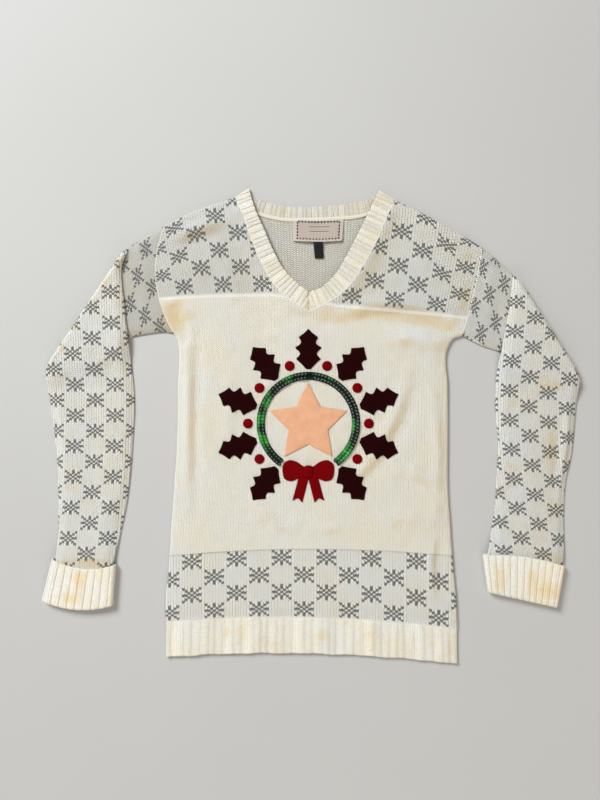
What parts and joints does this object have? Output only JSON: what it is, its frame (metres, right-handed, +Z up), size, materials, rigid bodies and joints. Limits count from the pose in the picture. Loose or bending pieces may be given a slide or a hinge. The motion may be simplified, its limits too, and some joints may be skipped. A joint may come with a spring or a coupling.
{
  "type": "christmas sweater",
  "caption": "Long-sleeved V-neck Christmas sweater laid flat with its sleeves folded down: snowflake yoke, sleeves and band, ribbed collar, hem and turned cuffs, felt wreath on the front.",
  "frame": {"origin": "on the surface that the sweater lies on, under the middle of its outline", "axes": "+X to the viewer's right (the wearer's left), +Y from hem to neck, +Z up out of the front"},
  "size_m": [0.8021, 0.7118, 0.0126],
  "materials": {
    "snowflake_knit": "stocking-stitch knit in cream with grey snowflakes worked in two-colour knitting, soft and matt",
    "rib_knit": "one-by-one rib knit in warm cream, soft and matt",
    "brown_felt": "dark brown felt with a short fuzzy nap",
    "peach_felt": "peach felt with a short fuzzy nap",
    "red_felt": "dark red felt with a short fuzzy nap",
    "green_sequins": "rows of black-green sequins on a felt backing, mirror-bright glints",
    "woven_label": "woven satin label, pinkish white with a dark zigzag border",
    "black_tab": "black woven tape"
  },
  "bodies": {
    "root": {"back_panel": "snowflake_knit", "front_panel": "snowflake_knit", "sleeve_left": "snowflake_knit", "sleeve_right": "snowflake_knit", "cuff_left": "rib_knit", "cuff_right": "rib_knit", "hem_rib": "rib_knit", "collar": "rib_knit", "neck_label": "woven_label", "size_tab": "black_tab", "star": "peach_felt", "sequin_ring": "green_sequins", "leaf_1": "brown_felt", "leaf_2": "brown_felt", "leaf_3": "brown_felt", "leaf_4": "brown_felt", "leaf_5": "brown_felt", "leaf_6": "brown_felt", "leaf_7": "brown_felt", "leaf_8": "brown_felt", "leaf_9": "brown_felt", "berry_1": "red_felt", "berry_2": "red_felt", "berry_3": "red_felt", "berry_4": "red_felt", "berry_5": "red_felt", "berry_6": "red_felt", "berry_7": "red_felt", "berry_8": "red_felt", "bow": "red_felt", "bow_knot": "red_felt"}
  },
  "joints": []
}
